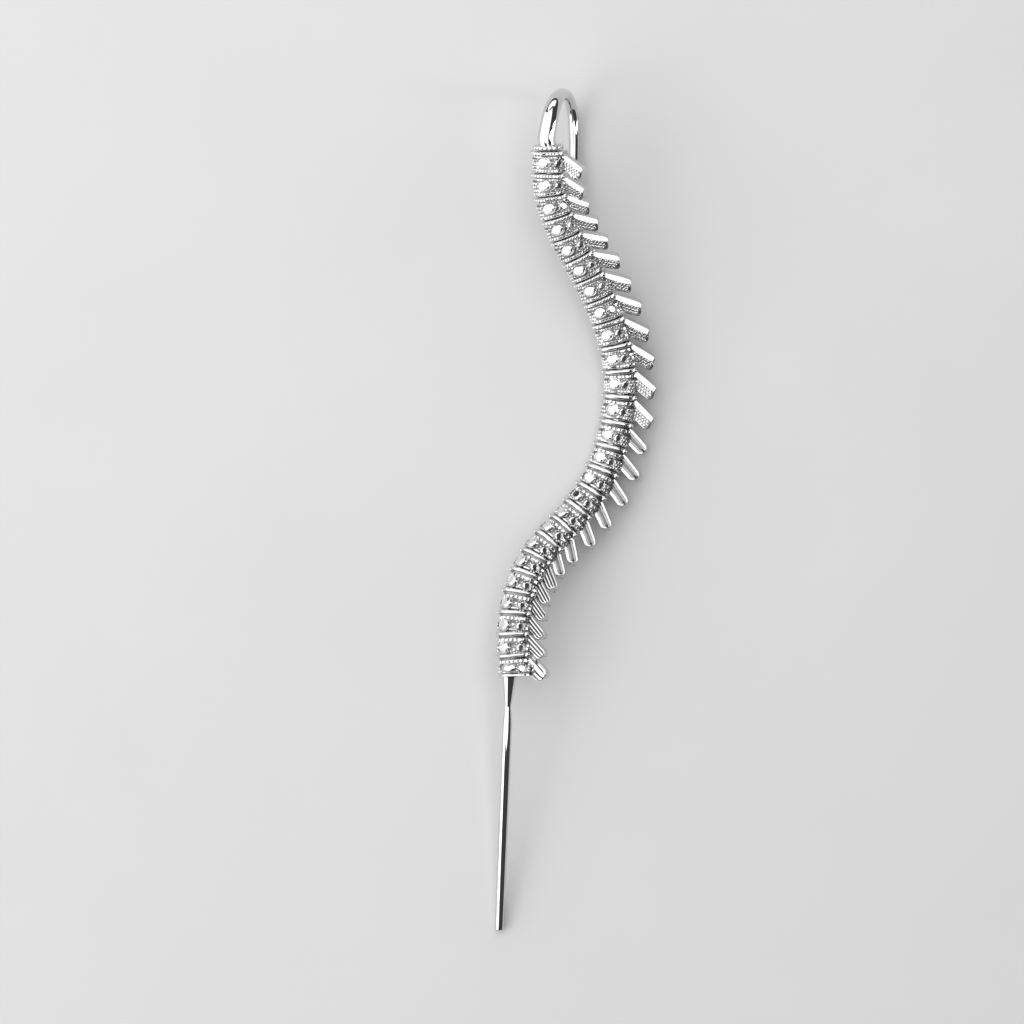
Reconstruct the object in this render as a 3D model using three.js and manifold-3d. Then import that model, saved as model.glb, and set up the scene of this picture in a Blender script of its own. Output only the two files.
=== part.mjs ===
// An ear cuff in the form of a spine: a hook for the top of the ear, a row of stone-set vertebrae and a lobe pin.
// Millimetres. The piece is drawn as it is worn, seen from the front: X to the right, Y up, Z out of the ear.
// At the end it is laid on its back, as it comes to rest on a table, with Z up from the table.
import * as THREE from 'three';
import { mergeVertices } from 'three/addons/utils/BufferGeometryUtils.js';
import { ConvexHull } from 'three/addons/math/ConvexHull.js';
import Module from 'manifold-3d';

const wasm = await Module();
wasm.setup();

// Spine
const SPINE_HEIGHT = 45.98;
const SPINE_SWAY = 9.42;
const SPINE_BOW = 6;
const VERTEBRA_COUNT = 25;
const JOINT_GAP = 0.08;

// Vertebra body, across its axis
const BODY_WIDTH = 3.0;
const BODY_DEPTH = 2.1;
const BODY_SQUARENESS = 2.6;
const BODY_SIDES = 10;

// Fin: a blade that stands off the body's right flank
const FIN_LENGTH = 1.9;
const FIN_ROOT_THICKNESS = 1.0;
const FIN_TIP_THICKNESS = 0.84;
const FIN_DEPTH = 1.35;
const FIN_SETBACK = 0.75;
const FIN_ROOT_SINK = 0.3;
const FIN_CORNER_SHARE = 0.36;
const CHANNEL_WALL = 0.18;
const CHANNEL_DEPTH = 0.22;
const CHANNEL_START = 0.35;

// Stones
const MAIN_STONE = 1.0;
const SECOND_STONE = 0.68;
const STONE_SIDES = 8;
const STONE_TABLE_SHARE = 0.58;
const STONE_CROWN_SHARE = 0.16;
const STONE_PAVILION_SHARE = 0.42;
const GIRDLE = 0.04;
const SEAT_CLEARANCE = 0.04;
const COLLET_WALL = 0.08;
const COLLET_RISE = 0.14;
const COLLET_ROOT = 0.5;

// The oval dome that closes the last vertebra
const DOME_WIDTH = 1.5;
const DOME_HEIGHT = 0.85;
const DOME_RISE = 0.34;
const DOME_SIDES = 10;

// Core wire, hook, and the collar at the hook's foot
const CORE_RADIUS = 0.42;
const CORE_CLEARANCE = 0.1;
const CORE_SIDES = 5;
const COLLAR_HEIGHT = 0.4;
const COLLAR_SIZE = 0.82;
const HOOK_BASE_RADIUS = 0.78;
const HOOK_RISE = 5.25;
const HOOK_REACH = 7.2;
const HOOK_SWEEP = 2.5;
const HOOK_SIDES = 10;
const HOOK_STEPS = 22;

// Base plate, cone and lobe pin
const PLATE_HEIGHT = 0.2;
const CONE_TOP_RADIUS = 0.67;
const CONE_TIP_RADIUS = 0.28;
const CONE_LENGTH = 2.7;
const CONE_SHIFT = 0.6;
const PIN_RADIUS = 0.42;
const PIN_LENGTH = 20.2;
const PIN_SHOULDER = 1.8;
const PIN_CHAMFER = 0.1;
const PIN_LEAN_BACK = 10;
const PIN_LEAN_LEFT = 2.26;
const PIN_SIDES = 12;

// The spine's line and how the vertebrae turn along it, in rows that lie equal numbers of vertebrae apart.
// down, sway and bow are shares of the spine's height, sway and bow. roll turns the front to the left, and lean
// drops the fins, both in degrees. reach and thick are shares of the fin's length and thickness. block is where the
// stone block's middle lies, as a share of the vertebra's length, and main and second are the angles of its two
// stones from its front to the left, in degrees.
const SPINE_LINE = [
  { down: 0.0, sway: 0.3231, bow: 0.0, roll: 18, lean: 34, reach: 0.94, thick: 0.76, block: 0.5, main: 6, second: -50 },
  { down: 0.0873, sway: 0.3485, bow: 0.16, roll: 17, lean: 33, reach: 0.94, thick: 0.8, block: 0.48, main: 12, second: -48 },
  { down: 0.1677, sway: 0.4995, bow: 0.36, roll: 15, lean: 34, reach: 0.98, thick: 0.88, block: 0.48, main: 14, second: -46 },
  { down: 0.2476, sway: 0.7167, bow: 0.57, roll: 13, lean: 39, reach: 1.04, thick: 0.94, block: 0.49, main: 14, second: -42 },
  { down: 0.3342, sway: 0.9043, bow: 0.77, roll: 11, lean: 40, reach: 1.04, thick: 0.98, block: 0.52, main: 18, second: -34 },
  { down: 0.4326, sway: 1.0, bow: 0.93, roll: 9, lean: 40, reach: 1.0, thick: 1.0, block: 0.58, main: 19, second: -26 },
  { down: 0.5379, sway: 0.9435, bow: 1.0, roll: 8, lean: 34, reach: 0.98, thick: 1.0, block: 0.65, main: 18, second: -26 },
  { down: 0.6312, sway: 0.7835, bow: 0.95, roll: 8, lean: 29, reach: 1.03, thick: 1.0, block: 0.7, main: 31, second: -26 },
  { down: 0.7052, sway: 0.5187, bow: 0.82, roll: 9, lean: 32, reach: 1.0, thick: 0.98, block: 0.71, main: 38, second: -22 },
  { down: 0.7675, sway: 0.2437, bow: 0.64, roll: 12, lean: 39, reach: 0.92, thick: 0.88, block: 0.72, main: 42, second: -22 },
  { down: 0.8367, sway: 0.0678, bow: 0.46, roll: 15, lean: 42, reach: 0.88, thick: 0.8, block: 0.74, main: 36, second: -32 },
  { down: 0.9166, sway: 0.0, bow: 0.34, roll: 17, lean: 46, reach: 0.92, thick: 0.8, block: 0.74, main: 30, second: -40 },
  { down: 1.0, sway: 0.014, bow: 0.3, roll: 17, lean: 50, reach: 0.98, thick: 1.04, block: 0.74, main: 22, second: -42 },
];

// The vertebra's body from its top to its bottom: size is a share of the body's section, and at is a share of its
// length, from its top or from the block's middle.
const BODY_FORM = [
  { from: 'top', at: 0.0, size: 1.06 },
  { from: 'top', at: 0.2, size: 1.06 },
  { from: 'top', at: 0.25, size: 0.88 },
  { from: 'block', at: -0.22, size: 0.88 },
  { from: 'block', at: -0.17, size: 1.0 },
  { from: 'top', at: 1.0, size: 0.96 },
];

// Where things sit on a vertebra: drops and places are shares of its length, FIN_ROOT_TOP is the least distance from
// its top to the fin, and turn an angle from its front, to the left.
const SECOND_DROP = 0.05;
const FIN_ROOT_AT = 0.5;
const FIN_ROOT_TOP = 0.1;
const DOME_SEAT = { at: 0.72, turn: 14 };

// The hook as it leaves the collar. axis and rise are shares of its rise, along the spine's own line and straight
// up, reach is a share of its reach towards the back of the ear, right is a share of its sweep to the right, and
// radius is a share of its base radius.
const HOOK_LINE = [
  { axis: 0.0, right: -0.048, rise: 0.0, reach: 0.0, radius: 1.0 },
  { axis: 0.1, right: -0.072, rise: 0.0, reach: 0.0, radius: 1.0 },
  { axis: 0.1, right: -0.024, rise: 0.17, reach: 0.0, radius: 1.0 },
  { axis: 0.1, right: 0.08, rise: 0.41, reach: 0.02, radius: 0.97 },
  { axis: 0.1, right: 0.22, rise: 0.62, reach: 0.11, radius: 0.86 },
  { axis: 0.1, right: 0.38, rise: 0.74, reach: 0.29, radius: 0.76 },
  { axis: 0.1, right: 0.544, rise: 0.79, reach: 0.51, radius: 0.7 },
  { axis: 0.1, right: 0.704, rise: 0.75, reach: 0.73, radius: 0.65 },
  { axis: 0.1, right: 0.824, rise: 0.62, reach: 0.89, radius: 0.61 },
  { axis: 0.1, right: 0.896, rise: 0.43, reach: 0.97, radius: 0.59 },
  { axis: 0.1, right: 0.928, rise: 0.1, reach: 1.0, radius: 0.57 },
  { axis: 0.1, right: 0.912, rise: -0.45, reach: 0.97, radius: 0.55 },
  { axis: 0.1, right: 0.848, rise: -1.0, reach: 0.9, radius: 0.53 },
  { axis: 0.1, right: 0.768, rise: -1.55, reach: 0.8, radius: 0.5 },
];

const degrees = THREE.MathUtils.degToRad;
const OUT = new THREE.Vector3(0, 0, 1);

// A curve through table rows for the line, and a smooth reading of every other column along it.
const spineCurve = new THREE.CatmullRomCurve3(
  SPINE_LINE.map(
    (row) =>
      new THREE.Vector3(
        (row.sway - SPINE_LINE[0].sway) * SPINE_SWAY,
        -row.down * SPINE_HEIGHT,
        -row.bow * SPINE_BOW,
      ),
  ),
  false,
  'centripetal',
);

function readColumn(name, number) {
  const place = (THREE.MathUtils.clamp(number, 0, VERTEBRA_COUNT) / VERTEBRA_COUNT) * (SPINE_LINE.length - 1);
  const row = Math.min(Math.floor(place), SPINE_LINE.length - 2);
  return THREE.MathUtils.lerp(SPINE_LINE[row][name], SPINE_LINE[row + 1][name], place - row);
}

// The spine's frame so many vertebrae down it: down the spine, to the fin's side, and out of the front.
function frameAt(number) {
  const share = THREE.MathUtils.clamp(number / VERTEBRA_COUNT, 0, 1);
  const down = spineCurve.getTangent(share).normalize();
  const origin = spineCurve.getPoint(share);
  const plainFront = OUT.clone().addScaledVector(down, -OUT.dot(down)).normalize();
  const plainSide = new THREE.Vector3().crossVectors(plainFront, down);
  const roll = degrees(readColumn('roll', number));
  const front = plainFront.clone().multiplyScalar(Math.cos(roll)).addScaledVector(plainSide, -Math.sin(roll));
  const side = plainSide.multiplyScalar(Math.cos(roll)).addScaledVector(plainFront, Math.sin(roll));
  return { origin, down, front, side, number };
}

function movedFrame(frame, distance) {
  return { ...frame, origin: frame.origin.clone().addScaledVector(frame.down, distance) };
}

// A closed mesh as a manifold-3d solid.
function solidOf(geometry) {
  const bare = new THREE.BufferGeometry().setAttribute('position', geometry.getAttribute('position'));
  if (geometry.index) bare.setIndex(geometry.index);
  const merged = mergeVertices(bare.index ? bare.toNonIndexed() : bare, 1e-4);
  return new wasm.Manifold(
    new wasm.Mesh({
      numProp: 3,
      vertProperties: new Float32Array(merged.attributes.position.array),
      triVerts: new Uint32Array(merged.index.array),
    }),
  );
}

function geometryOf(solid) {
  const mesh = solid.getMesh();
  const positions = new Float32Array(mesh.numVert * 3);
  for (let i = 0; i < mesh.numVert; i++) {
    positions.set(mesh.vertProperties.subarray(i * mesh.numProp, i * mesh.numProp + 3), i * 3);
  }
  const geometry = new THREE.BufferGeometry();
  geometry.setAttribute('position', new THREE.BufferAttribute(positions, 3));
  geometry.setIndex(new THREE.BufferAttribute(new Uint32Array(mesh.triVerts), 1));
  return geometry;
}

// A closed solid through rings of points that all have the same count, each ring turning left round the way it goes.
function loft(rings) {
  const count = rings[0].length;
  const positions = [];
  const corner = (ring, i) => positions.push(...rings[ring][i % count].toArray());
  for (let ring = 0; ring < rings.length - 1; ring++) {
    for (let i = 0; i < count; i++) {
      corner(ring, i);
      corner(ring, i + 1);
      corner(ring + 1, i + 1);
      corner(ring, i);
      corner(ring + 1, i + 1);
      corner(ring + 1, i);
    }
  }
  for (let i = 1; i < count - 1; i++) {
    corner(0, 0);
    corner(0, i + 1);
    corner(0, i);
    corner(rings.length - 1, 0);
    corner(rings.length - 1, i);
    corner(rings.length - 1, i + 1);
  }
  const geometry = new THREE.BufferGeometry();
  geometry.setAttribute('position', new THREE.Float32BufferAttribute(positions, 3));
  return solidOf(geometry);
}

// Distance from the body's axis to its skin, at an angle from its front towards the left.
function skinRadius(turn, size) {
  const across = Math.abs(Math.sin(turn)) / ((BODY_WIDTH / 2) * size);
  const out = Math.abs(Math.cos(turn)) / ((BODY_DEPTH / 2) * size);
  return (across ** BODY_SQUARENESS + out ** BODY_SQUARENESS) ** (-1 / BODY_SQUARENESS);
}

function bodyRing(frame, size) {
  return Array.from({ length: BODY_SIDES }, (_, i) => {
    const turn = ((i + 0.5) / BODY_SIDES) * 2 * Math.PI;
    const radius = skinRadius(turn, size);
    return frame.origin
      .clone()
      .addScaledVector(frame.side, -Math.sin(turn) * radius)
      .addScaledVector(frame.front, Math.cos(turn) * radius);
  });
}

function roundRing(frame, radius, sides) {
  return Array.from({ length: sides }, (_, i) => {
    const turn = (i / sides) * 2 * Math.PI;
    return frame.origin
      .clone()
      .addScaledVector(frame.side, -Math.sin(turn) * radius)
      .addScaledVector(frame.front, Math.cos(turn) * radius);
  });
}

// Sets a form that is drawn about Y into a seat, with Y along the seat's direction and Z down the spine.
function seatMatrix(seat) {
  const across = new THREE.Vector3().crossVectors(seat.direction, seat.down).normalize();
  const along = new THREE.Vector3().crossVectors(across, seat.direction);
  return new THREE.Matrix4().makeBasis(across, seat.direction, along).setPosition(seat.origin);
}

// A turned form about Y from a half profile, set into a seat.
function turned(profile, sides, seat) {
  const geometry = new THREE.LatheGeometry(profile.map(([x, y]) => new THREE.Vector2(x, y)), sides);
  return geometry.applyMatrix4(seatMatrix(seat));
}

// The place on the skin of a vertebra where a stone sits.
function seatAt(vertebra, place) {
  const frame = frameAt(vertebra.at(place.at));
  const turn = degrees(place.turn);
  const direction = frame.front
    .clone()
    .multiplyScalar(Math.cos(turn))
    .addScaledVector(frame.side, -Math.sin(turn));
  const origin = frame.origin.clone().addScaledVector(direction, skinRadius(turn, 1));
  return { origin, direction, down: frame.down };
}

function brilliantProfile(diameter) {
  const radius = diameter / 2;
  return [
    [0, -diameter * STONE_PAVILION_SHARE],
    [radius, -GIRDLE / 2],
    [radius, GIRDLE / 2],
    [radius * STONE_TABLE_SHARE, diameter * STONE_CROWN_SHARE],
    [0, diameter * STONE_CROWN_SHARE],
  ];
}

// A stone that is fused to its collet: one turned form, with the collet's rim round the stone's crown.
function fusedStone(diameter, seat) {
  const radius = diameter / 2;
  const rim = radius + COLLET_WALL;
  const profile = [
    [0, -COLLET_ROOT],
    [rim, -COLLET_ROOT],
    [rim, COLLET_RISE / 2],
    [radius * STONE_TABLE_SHARE, COLLET_RISE / 2 + diameter * STONE_CROWN_SHARE],
    [0, COLLET_RISE / 2 + diameter * STONE_CROWN_SHARE],
  ];
  return solidOf(turned(profile, STONE_SIDES, seat));
}

// The main stone's girdle stands this far out of the vertebra's skin.
const GIRDLE_RISE = COLLET_RISE - GIRDLE;

function mainCollet(seat) {
  const rim = MAIN_STONE / 2 + SEAT_CLEARANCE + COLLET_WALL;
  return solidOf(turned([[0, -COLLET_ROOT], [rim, -COLLET_ROOT], [rim, COLLET_RISE], [0, COLLET_RISE]], STONE_SIDES, seat));
}

function mainPocket(seat) {
  const radius = MAIN_STONE / 2 + SEAT_CLEARANCE;
  const bottom = GIRDLE_RISE - MAIN_STONE * STONE_PAVILION_SHARE - SEAT_CLEARANCE * 2;
  const ledge = GIRDLE_RISE - GIRDLE / 2 - SEAT_CLEARANCE;
  const profile = [[0, bottom], [radius, ledge], [radius, MAIN_STONE], [0, MAIN_STONE]];
  return solidOf(turned(profile, STONE_SIDES, seat));
}

function mainStone(seat) {
  const raised = { ...seat, origin: seat.origin.clone().addScaledVector(seat.direction, GIRDLE_RISE) };
  return turned(brilliantProfile(MAIN_STONE), STONE_SIDES, raised);
}

// The fin's outline in its own axes, outward and upward: root points first and last, rounded tip between them.
function bladeShape(low, high, length, tip) {
  const corner = tip * FIN_CORNER_SHARE;
  const shape = new THREE.Shape();
  shape.moveTo(low.x, low.y);
  shape.lineTo(length - corner, -tip / 2);
  shape.absarc(length - corner, -tip / 2 + corner, corner, -Math.PI / 2, 0, false);
  shape.absarc(length - corner, tip / 2 - corner, corner, 0, Math.PI / 2, false);
  shape.lineTo(high.x, high.y);
  shape.closePath();
  return shape;
}

// The blade stands on the flank, its root cut along the body and kept under the vertebra's top, and a channel runs
// in its front.
function finSolid(vertebra) {
  const frame = frameAt(vertebra.at(FIN_ROOT_AT));
  const lean = degrees(readColumn('lean', frame.number));
  const thick = readColumn('thick', frame.number);
  const reach = FIN_LENGTH * readColumn('reach', frame.number);
  const outward = frame.side.clone().multiplyScalar(Math.cos(lean)).addScaledVector(frame.down, Math.sin(lean));
  const upward = frame.side.clone().multiplyScalar(Math.sin(lean)).addScaledVector(frame.down, -Math.cos(lean));
  const origin = frame.origin
    .clone()
    .addScaledVector(frame.side, BODY_WIDTH / 2)
    .addScaledVector(frame.front, BODY_DEPTH / 2 - FIN_SETBACK - FIN_DEPTH);
  const matrix = new THREE.Matrix4().makeBasis(outward, upward, frame.front).setPosition(origin);
  const root = FIN_ROOT_THICKNESS * thick;
  const tip = FIN_TIP_THICKNESS * thick;
  const rootPoint = (y) => new THREE.Vector2((-FIN_ROOT_SINK - y * Math.sin(lean)) / Math.cos(lean), y);
  const high = rootPoint(root / 2);
  const toTop = vertebra.length * FIN_ROOT_AT - FIN_ROOT_TOP;
  high.x = Math.max(high.x, ((root / 2) * Math.cos(lean) - toTop) / Math.sin(lean));
  const blade = new THREE.ExtrudeGeometry(bladeShape(rootPoint(-root / 2), high, reach, tip), {
    depth: FIN_DEPTH,
    bevelEnabled: false,
    curveSegments: 2,
  });
  const half = root / 2 - CHANNEL_WALL;
  const channel = new THREE.ExtrudeGeometry(
    bladeShape(
      new THREE.Vector2(CHANNEL_START, -half),
      new THREE.Vector2(CHANNEL_START, half),
      reach - CHANNEL_WALL,
      tip - 2 * CHANNEL_WALL,
    ),
    { depth: CHANNEL_DEPTH * 2, bevelEnabled: false, curveSegments: 1 },
  );
  channel.translate(0, 0, FIN_DEPTH - CHANNEL_DEPTH);
  return solidOf(blade.applyMatrix4(matrix)).subtract(solidOf(channel.applyMatrix4(matrix)));
}

// The dome of the last vertebra: a turned quarter round, stretched across the front.
function domeSolid(seat) {
  const quarter = [0, 1, 2, 3].map((k) => {
    const turn = (k / 3) * (Math.PI / 2);
    return [Math.cos(turn) / 2, COLLET_ROOT + Math.sin(turn) * DOME_RISE];
  });
  const profile = [[0, 0], [0.5, 0], ...quarter];
  profile[profile.length - 1][0] = 0;
  const geometry = new THREE.LatheGeometry(profile.map(([x, y]) => new THREE.Vector2(x, y)), DOME_SIDES);
  geometry.translate(0, -COLLET_ROOT, 0);
  geometry.scale(DOME_WIDTH, 1, DOME_HEIGHT);
  return solidOf(geometry.applyMatrix4(seatMatrix(seat)));
}

// A vertebra covers one number of the spine less the joint gap.
function vertebraPlace(index) {
  const pitch = frameAt(index).origin.distanceTo(frameAt(index + 1).origin);
  const gap = JOINT_GAP / pitch;
  const at = (share) => index + gap / 2 + share * (1 - gap);
  const block = readColumn('block', index + 0.5);
  return {
    index,
    at,
    block,
    length: pitch - JOINT_GAP,
    hasMainStone: index < VERTEBRA_COUNT - 1,
    main: { at: block, turn: readColumn('main', index + 0.5) },
    second: { at: block + SECOND_DROP, turn: readColumn('second', index + 0.5) },
  };
}

function vertebraSolid(vertebra) {
  const rings = BODY_FORM.map((row) => {
    const share = row.at + (row.from === 'block' ? vertebra.block : 0);
    return bodyRing(frameAt(vertebra.at(share)), row.size);
  });
  const bore = loft(
    [
      [0, -JOINT_GAP],
      [1, JOINT_GAP],
    ].map(([share, past]) =>
      roundRing(movedFrame(frameAt(vertebra.at(share)), past), CORE_RADIUS + CORE_CLEARANCE, CORE_SIDES),
    ),
  );
  const second = fusedStone(SECOND_STONE, seatAt(vertebra, vertebra.second));
  const plain = loft(rings).add(finSolid(vertebra)).add(second);
  if (!vertebra.hasMainStone) return plain.add(domeSolid(seatAt(vertebra, DOME_SEAT))).subtract(bore);
  const main = seatAt(vertebra, vertebra.main);
  return plain.add(mainCollet(main)).subtract(bore).subtract(mainPocket(main));
}

// Materials
const polishedMetal = new THREE.MeshStandardMaterial({ color: 0xe4e6e8, roughness: 0.12, metalness: 1 });
const clearStone = new THREE.MeshStandardMaterial({ color: 0xf4f7fb, roughness: 0.03, metalness: 0 });

const worn = new THREE.Group();

function addMesh(name, geometry, material) {
  const mesh = new THREE.Mesh(geometry, material);
  mesh.name = name;
  worn.add(mesh);
  return mesh;
}

const twoDigits = (number) => String(number).padStart(2, '0');

for (let i = 0; i < VERTEBRA_COUNT; i++) {
  const vertebra = vertebraPlace(i);
  addMesh(`vertebra_${twoDigits(i + 1)}`, geometryOf(vertebraSolid(vertebra)), polishedMetal);
  if (!vertebra.hasMainStone) continue;
  addMesh(`stone_${twoDigits(i + 1)}`, mainStone(seatAt(vertebra, vertebra.main)), clearStone);
}

// The hook and the collar at its foot, as one solid.
function hookSolid() {
  const start = movedFrame(frameAt(0), -COLLAR_HEIGHT);
  const curve = new THREE.CatmullRomCurve3(
    HOOK_LINE.map((row) =>
      start.origin
        .clone()
        .addScaledVector(start.down, -row.axis * HOOK_RISE)
        .add(new THREE.Vector3(row.right * HOOK_SWEEP, row.rise * HOOK_RISE, -row.reach * HOOK_REACH)),
    ),
    false,
    'centripetal',
  );
  const ringAt = (share, size) => {
    const along = curve.getTangentAt(share).normalize();
    const place = curve.getUtoTmapping(share) * (HOOK_LINE.length - 1);
    const row = Math.min(Math.floor(place), HOOK_LINE.length - 2);
    const scale = THREE.MathUtils.lerp(HOOK_LINE[row].radius, HOOK_LINE[row + 1].radius, place - row);
    const side = new THREE.Vector3(1, 0, 0).addScaledVector(along, -along.x).normalize();
    const front = new THREE.Vector3().crossVectors(along, side);
    return roundRing({ origin: curve.getPointAt(share), side, front }, HOOK_BASE_RADIUS * scale * size, HOOK_SIDES);
  };
  const rings = [];
  for (let step = 0; step < HOOK_STEPS; step++) rings.push(ringAt(step / HOOK_STEPS, 1));
  rings.push(ringAt(0.988, 0.94), ringAt(1, 0.55));
  const top = frameAt(0);
  const collar = loft(
    [
      [-COLLAR_HEIGHT - JOINT_GAP, COLLAR_SIZE * 0.9],
      [-COLLAR_HEIGHT, COLLAR_SIZE],
      [-JOINT_GAP / 2, COLLAR_SIZE],
    ].map(([distance, size]) => bodyRing(movedFrame(top, distance), size)),
  );
  return loft(rings).add(collar);
}

// The wire inside the vertebrae.
function coreSolid() {
  const rings = [];
  for (let number = 0; number <= VERTEBRA_COUNT; number++) {
    rings.push(roundRing(frameAt(number), CORE_RADIUS, CORE_SIDES));
  }
  return loft(rings);
}

addMesh('ear_hook', geometryOf(hookSolid()), polishedMetal);
addMesh('core_wire', geometryOf(coreSolid()), polishedMetal);

// The base plate, the cone and the pin.
function pinSolid() {
  const bottom = frameAt(VERTEBRA_COUNT);
  const plate = loft([JOINT_GAP / 2, JOINT_GAP / 2 + PLATE_HEIGHT].map((distance) => bodyRing(movedFrame(bottom, distance), 0.98)));
  const left = -Math.tan(degrees(PIN_LEAN_LEFT));
  const lean = new THREE.Vector3(left, -1, -Math.tan(degrees(PIN_LEAN_BACK))).normalize();
  const top = movedFrame(bottom, JOINT_GAP / 2 + PLATE_HEIGHT / 2).origin.addScaledVector(bottom.side, -CONE_SHIFT);
  const side = new THREE.Vector3(1, 0, 0).addScaledVector(lean, -lean.x).normalize();
  const front = new THREE.Vector3().crossVectors(lean, side);
  const ring = (distance, radius) =>
    roundRing({ origin: top.clone().addScaledVector(lean, distance), side, front }, radius, PIN_SIDES);
  const end = CONE_LENGTH + PIN_LENGTH;
  const cone = loft([
    ring(0, CONE_TOP_RADIUS),
    ring(CONE_LENGTH, CONE_TIP_RADIUS),
    ring(CONE_LENGTH + PIN_SHOULDER, PIN_RADIUS),
    ring(end - PIN_CHAMFER, PIN_RADIUS),
    ring(end, PIN_RADIUS - PIN_CHAMFER),
  ]);
  return plate.add(cone);
}

addMesh('lobe_pin', geometryOf(pinSolid()), polishedMetal);

// Turns the group so that it lies on the face of its hull that carries it with its front most nearly up, and puts
// the middle of its footprint at the origin.
function layOnTable(group) {
  const points = [];
  const balance = new THREE.Vector3();
  let volume = 0;
  group.traverse((object) => {
    if (!object.isMesh) return;
    const flat = object.geometry.index ? object.geometry.toNonIndexed() : object.geometry;
    const position = flat.getAttribute('position');
    for (let i = 0; i < position.count; i += 3) {
      const [a, b, c] = [0, 1, 2].map((k) => new THREE.Vector3().fromBufferAttribute(position, i + k));
      const part = a.dot(new THREE.Vector3().crossVectors(b, c)) / 6;
      volume += part;
      balance.addScaledVector(a.clone().add(b).add(c), part / 4);
      points.push(a, b, c);
    }
  });
  balance.divideScalar(volume);
  const down = new THREE.Vector3(0, 0, -1);
  let best = null;
  for (const face of new ConvexHull().setFromPoints(points).faces) {
    const corners = [0, 1, 2].map((k) => face.getEdge(k).head().point);
    const carries = corners.every((corner, k) => {
      const edge = corners[(k + 1) % 3].clone().sub(corner);
      return edge.cross(balance.clone().sub(corner)).dot(face.normal) > 0;
    });
    if (carries && (!best || face.normal.dot(down) > best.dot(down))) best = face.normal.clone();
  }
  group.quaternion.setFromUnitVectors(best, down);
  const box = new THREE.Box3().setFromPoints(points.map((point) => point.clone().applyQuaternion(group.quaternion)));
  group.position.set(-(box.min.x + box.max.x) / 2, -(box.min.y + box.max.y) / 2, -box.min.z);
}

layOnTable(worn);

const ear_cuff = new THREE.Group();
ear_cuff.add(worn);

export default ear_cuff;
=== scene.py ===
"""An ear cuff in the form of a jewelled spine, dressed for its photograph.

The spine is drawn as it is worn, in millimetres, seen from the front: X to the right, Y up, Z to the
front. The last step of every piece carries it to the table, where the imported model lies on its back.
"""

import math

import bmesh
import bpy
from mathutils import Matrix, Quaternion, Vector


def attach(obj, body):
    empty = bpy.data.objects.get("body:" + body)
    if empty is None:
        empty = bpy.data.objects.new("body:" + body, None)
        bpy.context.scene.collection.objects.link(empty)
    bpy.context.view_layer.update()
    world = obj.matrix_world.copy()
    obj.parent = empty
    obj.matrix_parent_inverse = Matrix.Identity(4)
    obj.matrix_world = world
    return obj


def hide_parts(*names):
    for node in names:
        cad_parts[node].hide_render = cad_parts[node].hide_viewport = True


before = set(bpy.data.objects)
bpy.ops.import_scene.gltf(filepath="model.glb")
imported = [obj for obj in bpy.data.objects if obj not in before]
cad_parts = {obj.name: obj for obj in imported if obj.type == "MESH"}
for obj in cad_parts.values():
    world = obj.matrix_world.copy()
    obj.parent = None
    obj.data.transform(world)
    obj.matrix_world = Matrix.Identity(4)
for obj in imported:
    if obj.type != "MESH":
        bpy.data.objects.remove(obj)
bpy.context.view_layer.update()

# Sizes, in millimetres, as in the solids
SPINE_HEIGHT = 45.98
SPINE_SWAY = 9.42
SPINE_BOW = 6.0
VERTEBRAE = 25
JOINT_GAP = 0.08
BODY_WIDTH = 3.0
BODY_DEPTH = 2.1
BODY_SQUARENESS = 2.6
FIN_LENGTH = 1.9
FIN_ROOT_THICKNESS = 1.0
FIN_TIP_THICKNESS = 0.84
FIN_DEPTH = 1.35
FIN_SETBACK = 0.75
FIN_ROOT_SINK = 0.3
FIN_CORNER_SHARE = 0.36
MAIN_STONE = 1.0
SECOND_STONE = 0.68
GIRDLE_RISE = 0.1
DOME_WIDTH = 1.5
DOME_HEIGHT = 0.85
DOME_RISE = 0.34
DOME_PLACE = 0.72
DOME_TURN = math.radians(14)
CORE_RADIUS = 0.42
COLLAR_HEIGHT = 0.4
COLLAR_SIZE = 0.82
HOOK_BASE_RADIUS = 0.78
HOOK_RISE = 5.25
HOOK_REACH = 7.2
PLATE_HEIGHT = 0.2
CONE_TOP_RADIUS = 0.67
CONE_TIP_RADIUS = 0.28
CONE_LENGTH = 2.7
CONE_SHIFT = 0.6
PIN_RADIUS = 0.42
PIN_LENGTH = 20.2
PIN_SHOULDER = 1.8
PIN_CHAMFER = 0.1
PIN_LEAN_BACK = 10
PIN_LEAN_LEFT = 2.26

# How the worn piece lies on the table, and the photograph's scale and middle.
TABLE_FROM_WORN = (
    Matrix.Scale(0.001, 4)
    @ Matrix.Translation((-2.568416, 31.514276, 7.349708))
    @ Quaternion((0.99991304, 0.00668918, -0.01136542, 0.0)).to_matrix().to_4x4()
)
PICTURE_WIDTH = 1024 * 0.088
PICTURE_MIDDLE = Vector((-3.24, -31.75, -3.0))

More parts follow.
